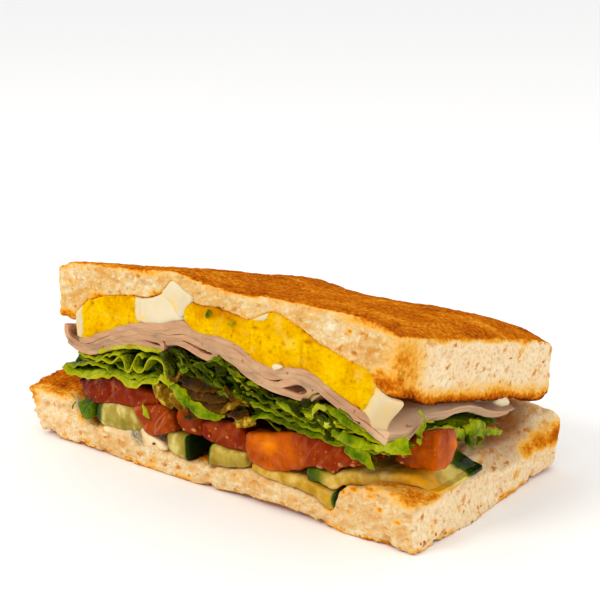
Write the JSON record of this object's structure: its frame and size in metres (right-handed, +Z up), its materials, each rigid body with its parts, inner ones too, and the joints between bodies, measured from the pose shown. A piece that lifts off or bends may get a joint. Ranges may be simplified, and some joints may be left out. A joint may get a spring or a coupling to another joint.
{
  "type": "half of a toasted egg, ham and salad sandwich",
  "caption": "Half a toasted sandwich standing on its bottom slice, its cut face showing egg, ham, lettuce, tomato and cucumber, pinched together at the outer edge.",
  "frame": {"origin": "middle of the underside of the whole, on the surface it stands on", "axes": "+X along the cut face, to the right seen from the cut; +Y from the cut face to the outer edge; +Z up"},
  "size_m": [0.1152, 0.0578, 0.0488],
  "materials": {
    "toast": "bran-flecked crumb, matt, browned on the toasted faces and edges",
    "egg_white": "smooth, moist, slightly translucent",
    "yolk": "crumbly, matt",
    "ham": "fine-grained, moist",
    "lettuce": "crisp leaf, slightly glossy",
    "tomato": "wet flesh with small seeds",
    "cucumber": "wet, translucent flesh with dark green skin",
    "sauce": "creamy, wet"
  },
  "bodies": {
    "root": {"bread_base": "toast", "bread_lid": "toast", "egg_1_white": "egg_white", "egg_2_white": "egg_white", "egg_3_white": "egg_white", "egg_4_white": "egg_white", "egg_5_white": "egg_white", "egg_6_white": "egg_white", "egg_1_yolk": "yolk", "egg_2_yolk": "yolk", "egg_3_yolk": "yolk", "egg_4_yolk": "yolk", "egg_5_yolk": "yolk", "egg_6_yolk": "yolk", "ham_upper": "ham", "ham_lower": "ham", "lettuce": "lettuce", "tomato_1": "tomato", "tomato_2": "tomato", "tomato_3": "tomato", "tomato_4": "tomato", "tomato_5": "tomato", "tomato_6": "tomato", "tomato_7": "tomato", "tomato_8": "tomato", "tomato_9": "tomato", "cucumber_1": "cucumber", "cucumber_2": "cucumber", "cucumber_3": "cucumber", "cucumber_4": "cucumber", "cucumber_5": "cucumber", "cucumber_6": "cucumber", "cucumber_7": "cucumber", "cucumber_8": "cucumber"}
  },
  "joints": []
}
